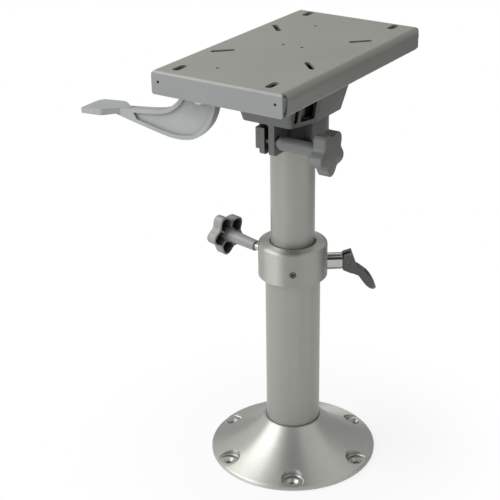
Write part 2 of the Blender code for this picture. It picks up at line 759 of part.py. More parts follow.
def tension(mats):
    """The knob on the collar, its stud and the nylon pad that it presses on the inner tube."""
    axis = frame("tension_axis", at=(0, 0, TENSION_Z), turn=(0, 0, TENSION_AZ))
    pad_face = INNER_R + RUN_GAP
    solid(
        "pressure_pad", rod(PAD_R, pad_face, pad_face + PAD_LEN, chamfer=0.5 * MM), axis, mats["nylon"],
        turn=ACROSS
    )
    turn = frame("tension_turn", parent=axis)
    start_at, end = TENSION_STEM
    solid(
        "tension_stud",
        rod(STUD_R, pad_face + PAD_LEN + SEAT_GAP, start_at + STUD_IN_KNOB, chamfer=0.8 * MM), turn,
        mats["steel"], turn=ACROSS
    )
    r0, r1 = TENSION_STEM_R
    inside = end + KNOB_HOLLOW + MM
    stem = [
        (0, start_at), (r0 - MM, start_at), (r0, start_at + MM), (r1, end), (r1, inside), (0, inside)
    ]
    knob("tension_knob", stem, end, TENSION_HEAD, TENSION_LOBE_AT, turn, mats["grey"])


def post(mats, axis):
    """The sliding tube with its foot bushing and the washer that the head turns on."""
    tube_in = INNER_R - INNER_WALL
    tube = solid(
        "inner_tube",
        turned(
            [
                (INNER_R, INNER_BOTTOM), (INNER_R, INNER_TOP), (tube_in, INNER_TOP),
                (tube_in, INNER_BOTTOM)
            ]
        ),
        axis,
        mats["anodised"],
    )
    # The plunger's pin runs in this keyway, whose ends stop the post.
    play = 0.6 * MM
    low, high = PLUNGER_Z - HEIGHT_UP - play, PLUNGER_Z + HEIGHT_DOWN + play
    wide = 2 * (PIN_R + 0.4 * MM)
    slot = stadium(high - low + wide, wide, at=(-(low + high) / 2, 0))
    cut(
        tube,
        solid(
            "keyway", prism(slot, tube_in - 4 * MM, INNER_R + 4 * MM), axis,
            turn=(0, 90 * DEG, PLUNGER_AZ)
        )
    )

    out = OUTER_R - OUTER_WALL - SEAT_GAP
    on_tube = INNER_R + SEAT_GAP
    cap = INNER_BOTTOM - SEAT_GAP
    profile = [
        (on_tube, cap), (on_tube, cap + FOOT_BUSH), (out, cap + FOOT_BUSH), (out, cap - FOOT_BUSH_CAP)
    ]
    profile += [(tube_in - 2 * MM, cap - FOOT_BUSH_CAP), (tube_in - 2 * MM, cap)]
    solid("foot_bushing", turned(profile), axis, mats["nylon"])

    low = INNER_TOP + SEAT_GAP
    profile = [
        (INNER_R / 2, low), (INNER_R - SEAT_GAP, low), (INNER_R - SEAT_GAP, low + THRUST),
        (INNER_R / 2, low + THRUST)
    ]
    solid("thrust_washer", turned(profile), axis, mats["nylon"])


def skirt_outline(z, inset=0.0, corner=7.0 * MM):
    """The casting's outline at height z: a rectangle with its front corners taken off, drafted outwards."""
    h = z - SKIRT_BOTTOM
    n = Vector((SKIRT_HALF - SKIRT_FRONT_HALF, SKIRT_FRONT - SKIRT_SHOULDER_X)).normalized()
    c = n.dot(Vector((SKIRT_FRONT, SKIRT_FRONT_HALF))) + DRAFT * h - inset
    rear, side, front = -(
        SKIRT_REAR + DRAFT * h - inset
    ), SKIRT_HALF + DRAFT * h - inset, SKIRT_FRONT + DRAFT_FRONT * h - inset
    half = [(rear, side), ((c - n.y * side) / n.x, side), (front, (c - n.x * front) / n.y)]
    points = [(x, -y) for x, y in half] + half[::-1]
    return rounded(points, max(corner - inset, MM), 3)


def skirt_block(name, low, high, inset, axis=None):
    return solid(name, loft(skirt_outline(low, inset), skirt_outline(high, inset), low, high), axis)


def head(mats, axis):
    """The swivelling casting, its bushing and the nut of its clamp."""
    body = skirt_block("head_casting", SKIRT_BOTTOM, HEAD_TOP, 0.0, axis)
    body.data.materials.append(mats["casting"])
    deck = HEAD_TOP - HEAD_DECK
    cut(body, skirt_block("head_hollow", SKIRT_BOTTOM - MM, deck, SKIRT_WALL, axis))

    bore = INNER_R + RUN_GAP + BUSH_WALL + SEAT_GAP
    hub = stadium(2 * HUB_R + HUB_BACK, 2 * HUB_R, at=(-HUB_BACK / 2, 0), steps=18)
    join(body, solid("head_hub", prism(hub, HUB_BOTTOM, SKIRT_BOTTOM + SKIRT_WALL), axis))
    join(body, solid("head_sleeve", rod(SLEEVE_R, SKIRT_BOTTOM - 3 * MM, deck + 2 * MM, 40), axis))
    spokes = [about_z(a * DEG) for a in (0, 45, 90, 135, 180, 225, 270, 315)]
    rib = SKIRT_WALL / 2
    ribs = copies(
        lambda: box(SLEEVE_R - 2 * MM, 2 * SKIRT_FRONT, -rib, rib, SKIRT_BOTTOM + 2 * MM, deck + MM),
        spokes
    )
    ribs = solid("head_ribs", ribs, axis)
    combine(ribs, skirt_block("head_core", SKIRT_BOTTOM - 2 * MM, HEAD_TOP - MM, MM, axis), "INTERSECT")
    join(body, ribs)

    slot, root = EAR_SLOT / 2, INNER_R + MM
    for name, y0, y1, top in (
        ("head_ear_right", slot - MM, slot + EAR_RIGHT, SKIRT_BOTTOM + 2 * MM),
        ("head_ear_left", -slot - EAR_LEFT, -slot + MM, EAR_LEFT_TOP + 0.5 * MM),
    ):
        outline = rounded(
            [(root, EAR_BOTTOM), (SKIRT_FRONT, EAR_BOTTOM), (SKIRT_FRONT, top), (root, top)],
            [0, 3.5 * MM, 0, 0]
        )
        join(body, solid(name, along_y(prism(outline, y0, y1)), axis))

    seat = INNER_TOP + SEAT_GAP + THRUST + SEAT_GAP
    cut(body, solid("head_bore", rod(bore, HUB_BOTTOM - 5 * MM, seat, 48), axis))
    cut(body, solid("head_drain", rod(INNER_R / 2 - 2 * MM, seat - MM, HEAD_TOP + MM), axis))
    front = SKIRT_FRONT + 10 * MM
    cut(
        body,
        solid(
            "clamp_slot",
            box(root - 4 * MM, front, -slot, slot, EAR_BOTTOM - 5 * MM, EAR_LEFT_TOP + EAR_SLIT), axis
        )
    )
    cut(
        body,
        solid(
            "clamp_slit",
            box(bore - MM, front, -slot - EAR_LEFT - 2 * MM, 0, EAR_LEFT_TOP, EAR_LEFT_TOP + EAR_SLIT),
            axis
        )
    )

    # Either side of the ears the hub is open, so that the clamp can bend it.
    def relief():
        return box(
            HUB_R * 0.4, HUB_R + 8 * MM, slot + EAR_RIGHT + 0.6 * MM, HUB_R + 2 * MM,
            HUB_BOTTOM + 10 * MM, SKIRT_BOTTOM - MM
        )

    cut(
        body, solid("hub_relief_right", relief(), axis),
        solid("hub_relief_left", mirrored_y(relief()), axis)
    )

    # Two windows in each tapered wall, square to the wall and leaning with its draft.
    corner = Vector((SKIRT_FRONT, SKIRT_FRONT_HALF, SKIRT_BOTTOM))
    back = Vector((SKIRT_SHOULDER_X - SKIRT_FRONT, SKIRT_HALF - SKIRT_FRONT_HALF, 0)).normalized()
    out = Vector((-back.y, back.x, 0))
    out = out if out.y > 0 else -out
    lean = out * DRAFT + Vector((0, 0, 1))
    wall = Matrix.Translation(corner) @ Matrix((back, lean, out)).transposed().to_4x4()

    def windows():
        whole = bmesh.new()
        for a0, a1, z1 in ((3.0, 9.0, 38.0), (14.0, 37.0, 46.0)):
            outline = rounded(
                [(a0 * MM, 6 * MM), (a1 * MM, 6 * MM), (a1 * MM, z1 * MM), (a0 * MM, z1 * MM)],
                2.5 * MM, 2
            )
            prism(outline, -SKIRT_WALL - 3 * MM, 4 * MM, whole)
        whole.transform(wall)
        return whole

    cut(
        body, solid("windows_right", windows(), axis),
        solid("windows_left", mirrored_y(windows()), axis)
    )
    stud = {"at": (CLAMP_X, 0, CLAMP_Z), "turn": (90 * DEG, 0, 0)}
    cut(body, solid("clamp_bore", rod(STUD_R + RUN_GAP, -40 * MM, 40 * MM), axis, **stud))
    tapped = [shifted(x, side * y) for x, y in (BOLT_REAR, BOLT_FRONT) for side in (-1, 1)]
    cut(
        body,
        solid(
            "deck_holes",
            copies(lambda: rod(BOLT_R + SEAT_GAP, deck - 3 * MM, HEAD_TOP + MM, 16), tapped), axis
        )
    )

    bush_in, bush_out = INNER_R + RUN_GAP, bore - SEAT_GAP
    low, high = HUB_BOTTOM + SEAT_GAP, INNER_TOP - MM
    solid(
        "swivel_bushing", turned([(bush_in, low), (bush_out, low), (bush_out, high), (bush_in, high)]),
        axis, mats["nylon"]
    )

    ear = slot + EAR_LEFT + SEAT_GAP
    x0, x1 = NUT_X
    z0, z1 = NUT_Z
    outline = rounded([(x0, z0), (x1, z0), (x1, z1), (x0, z1)], 1.5 * MM, 2)
    nut = solid("clamp_nut", along_y(prism(outline, -ear - NUT_T, -ear)), axis, mats["casting"])
    cut(nut, solid("clamp_thread", rod(STUD_R + RUN_GAP, -40 * MM, 40 * MM), axis, **stud))


def clamp(mats, swivel):
    """The knob that closes the ears of the head, its stud and the washer under its nose."""
    axis = frame("clamp_axis", at=(CLAMP_X, 0, CLAMP_Z), turn=(0, 0, 90 * DEG), parent=swivel)
    seat = EAR_SLOT / 2 + EAR_RIGHT + SEAT_GAP
    hole = STUD_R + RUN_GAP
    profile = [(hole, seat), (WASHER_R, seat), (WASHER_R, seat + WASHER), (hole, seat + WASHER)]
    solid("clamp_washer", turned(profile, SMALL_ROUND), axis, mats["steel"], turn=ACROSS)
    turn = frame("clamp_turn", parent=axis)
    nose = seat + WASHER + SEAT_GAP
    far = -(EAR_SLOT / 2 + EAR_LEFT + SEAT_GAP + NUT_T + MM)
    solid(
        "clamp_stud", rod(STUD_R, far, nose + STUD_IN_KNOB, chamfer=0.8 * MM), turn, mats["steel"],
        turn=ACROSS
    )
    r0, r1 = CLAMP_STEM_R
    inside = CLAMP_STEM_END + KNOB_HOLLOW + MM
    start_r = STUD_R + 1.2 * MM
    stem = [(0, nose)]
    for i in range(6):  # the nose is a quarter of an ellipse
        a = math.pi / 2 * i / 5
        stem.append((start_r + (r0 - start_r) * math.sin(a), nose + CLAMP_NOSE * (1 - math.cos(a))))
    stem += [(r1, CLAMP_STEM_END), (r1, inside), (0, inside)]
    knob("clamp_knob", stem, CLAMP_STEM_END, CLAMP_HEAD, CLAMP_LOBE_AT, turn, mats["grey"])


def side_wall(z):
    """Half-width of the seat plate's long side at height z, outside, below its bend."""
    low, high = PLATE_BOTTOM, PLATE_TOP - PLATE_BEND
    return PLATE_LOW_HALF + (PLATE_HALF - PLATE_LOW_HALF) * (z - low) / (high - low)


def carriage(mats, axis):
    """The plate on the head, its bolts and glides, and the lug that carries the slide lever."""
    low = HEAD_TOP + SEAT_GAP
    high = low + CARRIAGE
    lug_x = LEVER_X - LEVER_T / 2 - SEAT_GAP
    lug = (LEVER_Y - LUG_HALF, LEVER_Y + LUG_HALF)
    rear, front, half = -CARRIAGE_REAR, lug_x - MM, CARRIAGE_HALF
    outline = rounded([(rear, -half), (front, -half), (front, half), (rear, half)], 6 * MM, 3)
    body = solid("slide_carriage", prism(outline, low, high), axis, mats["steel_plate"])
    z0 = LEVER_Z - LUG_DOWN
    weld = high - MM
    outline = rounded(
        [(lug[0], z0), (lug[1], z0), (lug[1], weld), (lug[0], weld)], [9 * MM, 9 * MM, 0, 0]
    )
    join(body, solid("carriage_lug", along_x(prism(outline, lug_x - LUG_T, lug_x)), axis))
    bolts = [shifted(x, side * y) for x, y in (BOLT_REAR, BOLT_FRONT) for side in (-1, 1)]
    cut(
        body,
        solid(
            "carriage_holes", copies(lambda: rod(BOLT_R + SEAT_GAP, low - MM, high + MM, 16), bolts),
            axis
        )
    )
    cross = {"at": (0, LEVER_Y, LEVER_Z), "turn": ACROSS}
    cut(
        body,
        solid(
            "carriage_pivot", rod(LEVER_BOLT_R + RUN_GAP, lug_x - 20 * MM, lug_x + 5 * MM), axis,
            **cross
        )
    )
    cut(body, solid("carriage_window", rod(INNER_R, low - MM, high + MM, 32), axis))

    for name, place in zip(("rear_left", "rear_right", "front_left", "front_right"), bolts):
        bm = prism(hexagon(BOLT_HEX), high + SEAT_GAP, high + SEAT_GAP + BOLT_HEAD)
        bolt = solid("carriage_bolt_" + name, bm, axis, mats["steel"], at=place.translation)
        shank = rod(BOLT_R, high + SEAT_GAP - BOLT_LEN, high + 2 * MM, 16)
        join(bolt, solid("shank_" + name, shank, axis, at=place.translation))

    # Nylon glides clip over the carriage's edges and fill the folded sides of the seat plate.
    under, top = PLATE_BOTTOM + SHEET + SEAT_GAP, PLATE_TOP - SHEET - SEAT_GAP
    shoulder = PLATE_TOP - PLATE_BEND - MM
    outer_low = side_wall(under) - SHEET - 2 * SEAT_GAP
    outer_high = side_wall(shoulder) - SHEET - 2 * SEAT_GAP
    notch = CARRIAGE_HALF + SEAT_GAP
    outline = [
        (GLIDE_IN, under), (outer_low, under), (outer_high, shoulder), (PLATE_HALF - PLATE_BEND, top),
        (GLIDE_IN, top)
    ]
    outline += [
        (GLIDE_IN, high + SEAT_GAP), (notch, high + SEAT_GAP), (notch, low - SEAT_GAP),
        (GLIDE_IN, low - SEAT_GAP)
    ]
    for name, x, side in (
        ("rear_left", -1, -1), ("rear_right", -1, 1), ("front_left", 1, -1), ("front_right", 1, 1)
    ):
        points = [(side * y, z) for y, z in outline]
        bm = along_x(prism(points, x * GLIDE_AT - GLIDE_LEN / 2, x * GLIDE_AT + GLIDE_LEN / 2))
        solid("glide_" + name, bm, axis, mats["nylon"])

    head_x = LEVER_X + LEVER_T / 2 + SEAT_GAP
    nut_x = lug_x - LUG_T - SEAT_GAP
    cross = {"at": (0, LEVER_Y, LEVER_Z), "turn": ACROSS}
    bolt = solid(
        "lever_bolt", rod(LEVER_BOLT_HEAD_R, head_x, head_x + LEVER_BOLT_HEAD, chamfer=0.6 * MM), axis,
        mats["steel"], **cross
    )
    join(
        bolt,
        solid("lever_shank", rod(LEVER_BOLT_R, nut_x - LEVER_NUT - MM, head_x + MM), axis, **cross)
    )
    nut = solid(
        "lever_nut", prism(hexagon(LEVER_NUT_HEX), nut_x - LEVER_NUT, nut_x), axis, mats["steel"],
        **cross
    )
    cut(
        nut,
        solid(
            "lever_nut_bore", rod(LEVER_BOLT_R + SEAT_GAP, nut_x - LEVER_NUT - MM, nut_x + MM), axis,
            **cross
        )
    )


def seat_plate(mats, axis):
    """A sheet folded down on all four edges, with slots for the seats that it takes."""
    reach = side_wall(PLATE_TOP)
    corners = [
        (PLATE_LOW_HALF - PLATE_LIP, PLATE_BOTTOM), (PLATE_LOW_HALF, PLATE_BOTTOM), (reach, PLATE_TOP)
    ]
    path = [(-y, z) for y, z in corners] + corners[::-1]
    path = rounded(path, [0, SHEET + 0.5 * MM, PLATE_BEND, PLATE_BEND, SHEET + 0.5 * MM, 0], 5)
    profile = sheet(path, -SHEET)
    plate = along_x(prism(profile, PLATE_REAR + SIDE_SHORT, PLATE_FRONT - SIDE_SHORT))
    body = solid("seat_plate", plate, axis, mats["plate"])

    for name, x, way in (("front", PLATE_FRONT, 1), ("rear", PLATE_REAR, -1)):
        path = rounded(
            [(x - way * 13 * MM, PLATE_TOP), (x, PLATE_TOP), (x, PLATE_BOTTOM)], [0, END_BEND, 0], 4
        )
        flange = solid(
            "flange_" + name, along_y(prism(sheet(path, -way * SHEET), -END_HALF, END_HALF)), axis
        )
        face = [
            (-END_HALF, PLATE_BOTTOM), (END_HALF, PLATE_BOTTOM), (END_HALF, PLATE_TOP),
            (-END_HALF, PLATE_TOP)
        ]
        face = rounded(face, [3 * MM, 3 * MM, END_CORNER, END_CORNER])
        near, far = sorted((x - way * 20 * MM, x + way * 5 * MM))
        combine(
            flange, solid("flange_face_" + name, along_x(prism(face, near, far)), axis), "INTERSECT"
        )
        join(body, flange)

    through = (PLATE_TOP - SHEET - 3 * MM, PLATE_TOP + 3 * MM)
    corner_places = [shifted(x, y) for x in CORNER_SLOT_X for y in CORNER_SLOT_Y]
    cut(
        body,
        solid(
            "corner_slots",
            copies(lambda: prism(stadium(*CORNER_SLOT, steps=6), *through), corner_places), axis
        )
    )
    x, y = CROSS_AT
    cross_places = [
        shifted(x, y) @ about_z(a * DEG) @ shifted(CROSS_HALF * math.sqrt(2))
        for a in (45, 135, 225, 315)
    ]
    cut(
        body,
        solid(
            "cross_slots", copies(lambda: prism(stadium(*CROSS_SLOT, steps=6), *through), cross_places),
            axis
        )
    )
    cut(
        body,
        solid(
            "small_holes",
            copies(lambda: rod(SMALL_HOLE_R, *through, 12), [shifted(*at) for at in SMALL_HOLES]), axis
        )
    )
    sides = [shifted(0, side * SCREW_Y, PLATE_TOP - SCREW_DOWN) for side in (-1, 1)]
    for name, x in (("front", PLATE_FRONT), ("rear", PLATE_REAR)):
        screws = copies(lambda: along_x(rod(SCREW_R, x - 8 * MM, x + 8 * MM, 12)), sides)
        cut(body, solid("flange_holes_" + name, screws, axis))


def slide_lever(mats, swivel):
    """The moulded lever: a webbed blade that hangs from its pivot, an arm and a broad finger plate."""
    axis = frame("slide_lever_axis", at=(LEVER_X, LEVER_Y, LEVER_Z), parent=swivel)

    def curve(points):
        return spline([(y * MM, z * MM) for y, z in points], 2)

    # All outlines are drawn from the pivot, in millimetres: y across the seat plate and z up.
    cam_y, cam_z = CAM_OFFSET * math.sin(CAM_LEAN), CAM_OFFSET * math.cos(CAM_LEAN)
    cam_r = PLATE_TOP - SHEET - LOCK_GAP - LEVER_Z - cam_z
    under = [
        (-127, -42.2), (-109, -46.1), (-81, -51.5), (-57, -56.0), (-39, -58.1), (-23, -57.1),
        (-10.2, -54.0)
    ]
    right = [(-2, -48.8), (6.1, -41.1), (12.4, -33.5), (17.0, -25.5), (20.8, -15.5), (23.0, -6.0)]
    left = [(-26, -2.0), (-30.5, -9.0), (-38, -15.8), (-45.3, -20.8), (-56.9, -25.2), (-78.2, -28.8)]
    left += [(-99.9, -31.2), (-114, -33.6), (-127, -35.6)]
    lower, upper = curve(under + right), curve(left)
    x0, x1 = -LEVER_T / 2, LEVER_T / 2
    body = solid("slide_lever", along_x(prism(lower + upper, x0, x1)), axis, mats["grey"])
    join(body, solid("lever_cam", rod(cam_r, x0, x1, 40), axis, at=(0, cam_y, cam_z), turn=ACROSS))

    # The finger plate, drawn from the side and then cut to its outline in plan.
    top = [
        (-173, -39.6), (-170, -38.0), (-159, -36.8), (-144, -35.4), (-129, -34.2), (-117, -33.2),
        (-105, -31.6)
    ]
    low = [
        (-105, -39.0), (-119, -40.4), (-131, -42.2), (-141, -43.4), (-155, -44.0), (-168, -44.4),
        (-172.4, -43.6)
    ]
    half, arm = HANDLE_W / 2, LEVER_T / 2 - 0.5 * MM
    plate = solid("finger_plate", along_x(prism(curve(top) + curve(low), -half, half)), axis)
    plan = [
        (-arm, -105), (-arm, -112), (4 * MM - half, -125), (-half, -133), (-half, -165),
        (8 * MM - half, -172.5)
    ]
    plan += [(half, -171), (half - 2 * MM, -140), (half - 8 * MM, -131), (arm, -119), (arm, -105)]
    radii = [r * MM for r in (0, 4, 4, 4, 4, 4, 3, 4, 5, 4, 0)]
    mask = prism(rounded([(x, y * MM) for x, y in plan], radii, 3), -80 * MM, 0)
    combine(plate, solid("finger_plan", mask, axis), "INTERSECT")
    join(body, plate)

    # Both faces of the blade are recessed to a thin web inside a raised rim and a boss for the bolt.
    pocket = []
    for edge in (lower, upper):
        pocket += beside([(y, z) for y, z in edge if y > WEB_TAIL], WEB_RIM)
    deep = (LEVER_T - WEB_T) / 2

    def recess():
        both = bmesh.new()
        for low, high in ((x0 - MM, x0 + deep), (x1 - deep, x1 + MM)):
            prism(pocket, low, high, both)
        return along_x(both)

    hollow = solid("lever_recess", recess(), axis)
    cut(hollow, solid("lever_boss", rod(LEVER_BOLT_R + 6 * MM, -LEVER_T, LEVER_T), axis, turn=ACROSS))
    cut(body, hollow)
    cut(body, solid("lever_bore", rod(LEVER_BOLT_R + RUN_GAP, -LEVER_T, LEVER_T), axis, turn=ACROSS))


def main():
    start()
    mats = {
        "anodised": surface("anodised_aluminium", (0.46, 0.46, 0.43), 1.0, 0.42),
        "casting": surface("painted_casting", (0.16, 0.165, 0.16), 0.3, 0.5),
        "grey": surface("grey_moulding", (0.30, 0.32, 0.32), 0.0, 0.5),
        "dark": surface("dark_moulding", (0.09, 0.09, 0.085), 0.0, 0.45),
        "nylon": surface("black_nylon", (0.015, 0.015, 0.015), 0.0, 0.55),
        "chrome": surface("chrome", (0.6, 0.6, 0.58), 1.0, 0.12),
        "steel": surface("stainless_steel", (0.5, 0.5, 0.48), 1.0, 0.3),
        "steel_plate": surface("zinc_plated_steel", (0.42, 0.42, 0.4), 1.0, 0.45),
        "plate": surface("satin_plate", (0.36, 0.36, 0.33), 0.9, 0.45),
    }
    foot(mats)
    outer_post(mats)
    plunger(mats)
    tension(mats)
    height = frame("height_axis")
    post(mats, height)
    swivel = frame("swivel_axis", parent=height)
    head(mats, swivel)
    clamp(mats, swivel)
    carriage(mats, swivel)
    seat_plate(mats, frame("slide_axis", parent=swivel))
    slide_lever(mats, swivel)


main()
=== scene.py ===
"""The looks of the boat seat pedestal: its solids with rounded edges and finished surfaces, on a pale
floor, seen from the photograph's viewpoint. Metres, +Z up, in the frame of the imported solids."""

import json
import math

import bmesh
import bpy
from mathutils import Matrix, Vector


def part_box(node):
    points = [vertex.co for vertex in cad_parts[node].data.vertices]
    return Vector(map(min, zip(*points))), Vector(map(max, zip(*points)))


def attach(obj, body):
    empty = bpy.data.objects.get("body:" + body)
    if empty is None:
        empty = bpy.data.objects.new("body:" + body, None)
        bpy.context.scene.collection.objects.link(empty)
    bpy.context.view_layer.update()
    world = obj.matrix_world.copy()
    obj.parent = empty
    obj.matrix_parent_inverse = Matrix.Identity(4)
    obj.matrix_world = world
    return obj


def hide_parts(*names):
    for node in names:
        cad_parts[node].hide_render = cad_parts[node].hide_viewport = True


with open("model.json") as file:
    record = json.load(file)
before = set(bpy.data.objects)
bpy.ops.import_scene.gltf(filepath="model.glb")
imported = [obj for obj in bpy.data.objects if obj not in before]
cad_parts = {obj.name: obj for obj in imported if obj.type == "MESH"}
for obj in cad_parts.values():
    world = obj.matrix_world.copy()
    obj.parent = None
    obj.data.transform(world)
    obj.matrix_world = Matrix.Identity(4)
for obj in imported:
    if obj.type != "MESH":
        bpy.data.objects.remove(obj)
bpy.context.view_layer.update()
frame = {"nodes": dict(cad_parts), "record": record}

MM = 0.001
DEG = math.pi / 180
Z_AXIS = Vector((0, 0, 1))
WHITE = (1, 1, 1, 1)


def level_axis(azimuth, height):
    """A level axis that points outward from the middle of the post."""
    return Vector((0, 0, height)), Vector((math.cos(azimuth), math.sin(azimuth), 0))


# Axes of turned pieces: a point and a direction
POST_AXIS = (Vector((0, 0, 0)), Z_AXIS)
TENSION_AXIS = level_axis(-103.3 * DEG, 287.0 * MM)
PLUNGER_AXIS = level_axis(126.7 * DEG, 285.3 * MM)
CLAMP_AXIS = (Vector((53.6 * MM, 0, 472.0 * MM)), Vector((0, 1, 0)))

# Turned pieces: the axis, and the radius from which their facets are split
POST = (POST_AXIS, 20 * MM)
BARREL = (PLUNGER_AXIS, 4 * MM)
PIN = (PLUNGER_AXIS, 2 * MM)
TENSION_ROD = (TENSION_AXIS, 2 * MM)
TENSION_HUB = (TENSION_AXIS, 5 * MM)
CLAMP_ROD = (CLAMP_AXIS, 2 * MM)
CLAMP_HUB = (CLAMP_AXIS, 5 * MM)

# A facet's edge is split where both its ends lie on one circle about the axis
SAME_CIRCLE = 0.02 * MM  # in radius and along the axis
SHORTEST_CHORD = 0.01 * MM
LONGEST_CHORD = 0.35  # of the radius

# Clean meshes, rounded edges and even shading
SAME_POINT = 0.001 * MM
FLAT = 0.6 * DEG
SHARP = 32 * DEG
SHADING_WEIGHT = 80

# Thread of the tension stud, on the solid's plain 10 mm rod
THREAD_ROOT = 4.9 * MM
THREAD_CREST = 5.25 * MM
THREAD_PITCH = 1.5 * MM
THREAD_HALF = 0.45  # half the ridge's width, of the pitch
THREAD_STEPS = 24  # in one turn
THREAD_FROM = 0.3 * MM  # from the collar's face
THREAD_TO = 23.0 * MM
COLLAR_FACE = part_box("collar")[1][0]  # the collar's radius

# Noise keeps near 0.5, and this part of it is stretched to a range
NOISE_RANGE = (0.3, 0.7)
# Painted shade in hollows: the share of open sky at which the painted shade is darkest, and at which
# there is none
PAINTED_SHADE_RANGE = (0.25, 0.85)
PAINTED_SHADE_SAMPLES = 8

# Painted light: the seat plate's end flanges are tinted cooler than its top, for the cool light that
# falls on them
END_PAINTED_COOL_LIGHT = (0.255, 0.265, 0.256)
PAINTED_COOL_LIGHT_FACING = (0.6, 0.95)  # how far a face turns to the ends, from top to flange

# Floor: it is seen white, but keeps part of its own shade round the foot and all of it below
FLOOR_RADIUS = 9
FLOOR_Z = -0.3 * MM
FLOOR_COLOUR = (0.86, 0.86, 0.86)
SHADE_RADII = (0.12, 0.34)
SHADE_WHITE = (0.84, 1.0)
FOOT_RADII = (0.111, 0.114)

# Light
SKY_STRENGTH = 0.5
AIM = (0, 0, 0.3)  # where lamps and cards face

# Camera, fitted to the photograph
CAMERA_AZ = 31.628 * DEG
CAMERA_OUT = 1.56505
CAMERA_UP = 1.01903
CAMERA_PITCH = 25.876 * DEG
CAMERA_ROLL = -0.067 * DEG
CAMERA_LENS = 93.998
CAMERA_SENSOR = 36
CAMERA_SHIFT = (-0.0857, 0.0591)
CAMERA_CLIP = (0.05, 50)


# Materials


class Nodes:
    """Adds nodes to a tree, each with its inputs set or linked."""

    def __init__(self, tree):
        self.tree = tree

    def node(self, kind, inputs=None, **settings):
        made = self.tree.nodes.new(kind)
        for key, value in settings.items():
            setattr(made, key, value)
        for key, value in (inputs or {}).items():
            if isinstance(value, bpy.types.NodeSocket):
                self.tree.links.new(value, made.inputs[key])
            else:
                made.inputs[key].default_value = value
        return made

    def calc(self, operation, a, b=0.0, clamp=False):
        made = self.node("ShaderNodeMath", {0: a, 1: b}, operation=operation, use_clamp=clamp)
        return made.outputs[0]

    def remap(self, value, source, result, **settings):
        """Carries a value from the range source to the range result, and keeps it in there."""
        ends = dict(enumerate((*source, *result), start=1))
        return self.node("ShaderNodeMapRange", {"Value": value, **ends}, **settings).outputs[0]

    def background_rays(self):
        """1 for the rays that see the background white: camera, glossy and transmission rays."""
        path = self.node("ShaderNodeLightPath").outputs
        seen = self.calc("ADD", path["Is Camera Ray"], path["Is Glossy Ray"], clamp=True)
        return self.calc("MAXIMUM", seen, path["Is Transmission Ray"])

    def mix_shaders(self, share, first, second, output):
        mixed = self.node("ShaderNodeMixShader", {0: share, 1: first, 2: second})
        self.tree.links.new(mixed.outputs[0], self.tree.nodes[output].inputs["Surface"])


class Finish(Nodes):
    """A material with a Principled shader, built up by chaining nodes."""

    def __init__(self, name, colour, metallic, roughness, **sockets):
        self.mat = bpy.data.materials.new(name)
        self.mat.use_nodes = True
        self.mat.diffuse_color = (*colour, 1)
        super().__init__(self.mat.node_tree)
        self.shader = self.tree.nodes["Principled BSDF"]
        self.colour = colour
        self.set({"Base Color": (*colour, 1), "Metallic": metallic, "Roughness": roughness, **sockets})
        self.place = self.node("ShaderNodeTexCoord").outputs["Object"]
        self.height = None

    def set(self, values):
        for key, value in values.items():
            self.shader.inputs[key].default_value = value

    def noise(self, scale, stretch=(1, 1, 1), detail=2.0, place=None):
        at = self.node("ShaderNodeMapping", {"Vector": place or self.place, "Scale": stretch})
        inputs = {"Vector": at.outputs[0], "Scale": scale, "Detail": detail}
        return self.node("ShaderNodeTexNoise", inputs).outputs["Fac"]

    def spread(self, noise, low, high):
        """Stretches a noise to low..high."""
        return self.remap(noise, NOISE_RANGE, (low, high))

    def polar(self):
        """(radius, height, 0) about the Z axis: a pattern in it runs round the piece."""
        split = self.node("ShaderNodeSeparateXYZ", {0: self.place}).outputs
        x, y = (self.calc("MULTIPLY", split[i], split[i]) for i in range(2))
        radius = self.calc("SQRT", self.calc("ADD", x, y))
        return self.node("ShaderNodeCombineXYZ", {0: radius, 1: split[2]}).outputs[0]

    def tint(self, *factors):
        """Multiplies the base colour by the factors."""
        total = factors[0]
        for factor in factors[1:]:
            total = self.calc("MULTIPLY", total, factor)
        grey = self.node("ShaderNodeCombineXYZ", {0: total, 1: total, 2: total}).outputs[0]
        mixed = self.node("ShaderNodeVectorMath", {0: self.colour, 1: grey}, operation="MULTIPLY")
        self.tree.links.new(mixed.outputs[0], self.shader.inputs["Base Color"])

    def painted_hollow_shade(self, reach, darkest):
        """Painted shade: a factor that darkens the base colour in pockets and corners that light hardly
        reaches.
        """
        open_sky = self.node(
            "ShaderNodeAmbientOcclusion", {"Distance": reach}, only_local=True, samples=PAINTED_SHADE_SAMPLES
        ).outputs["AO"]
        return self.remap(open_sky, PAINTED_SHADE_RANGE, (darkest, 1.0))

    def gloss(self, roughness):
        self.tree.links.new(roughness, self.shader.inputs["Roughness"])

    def bump(self, height, depth, strength):
        """Adds a relief on top of those that are there."""
        inputs = {"Height": height, "Distance": depth, "Strength": strength}
        if self.height is not None:
            inputs["Normal"] = self.height
        self.height = self.node("ShaderNodeBump", inputs).outputs[0]
        self.tree.links.new(self.height, self.shader.inputs["Normal"])

    def radial(self, amount, turn):
        """Stretches highlights across turning marks that run round the Z axis."""
        tangent = self.node("ShaderNodeTangent", direction_type="RADIAL", axis="Z").outputs[0]
        self.tree.links.new(tangent, self.shader.inputs["Tangent"])
        self.set({"Anisotropic": amount, "Anisotropic Rotation": turn})


def extruded(name, colour):
    """Satin anodised tube: die lines along it and a faint cloudiness."""
    f = Finish(name, colour, metallic=0.7, roughness=0.42)
    lines = f.noise(1.0, (900, 900, 5), detail=3)
    bands = f.noise(1.0, (70, 70, 0.8), detail=1)
    cloud = f.noise(14, detail=3)
    f.tint(f.spread(lines, 0.965, 1.03), f.spread(bands, 0.97, 1.03), f.spread(cloud, 0.985, 1.015))
    f.gloss(f.spread(lines, 0.38, 0.46))
    f.bump(lines, 0.02 * MM, 0.5)
    return f.mat


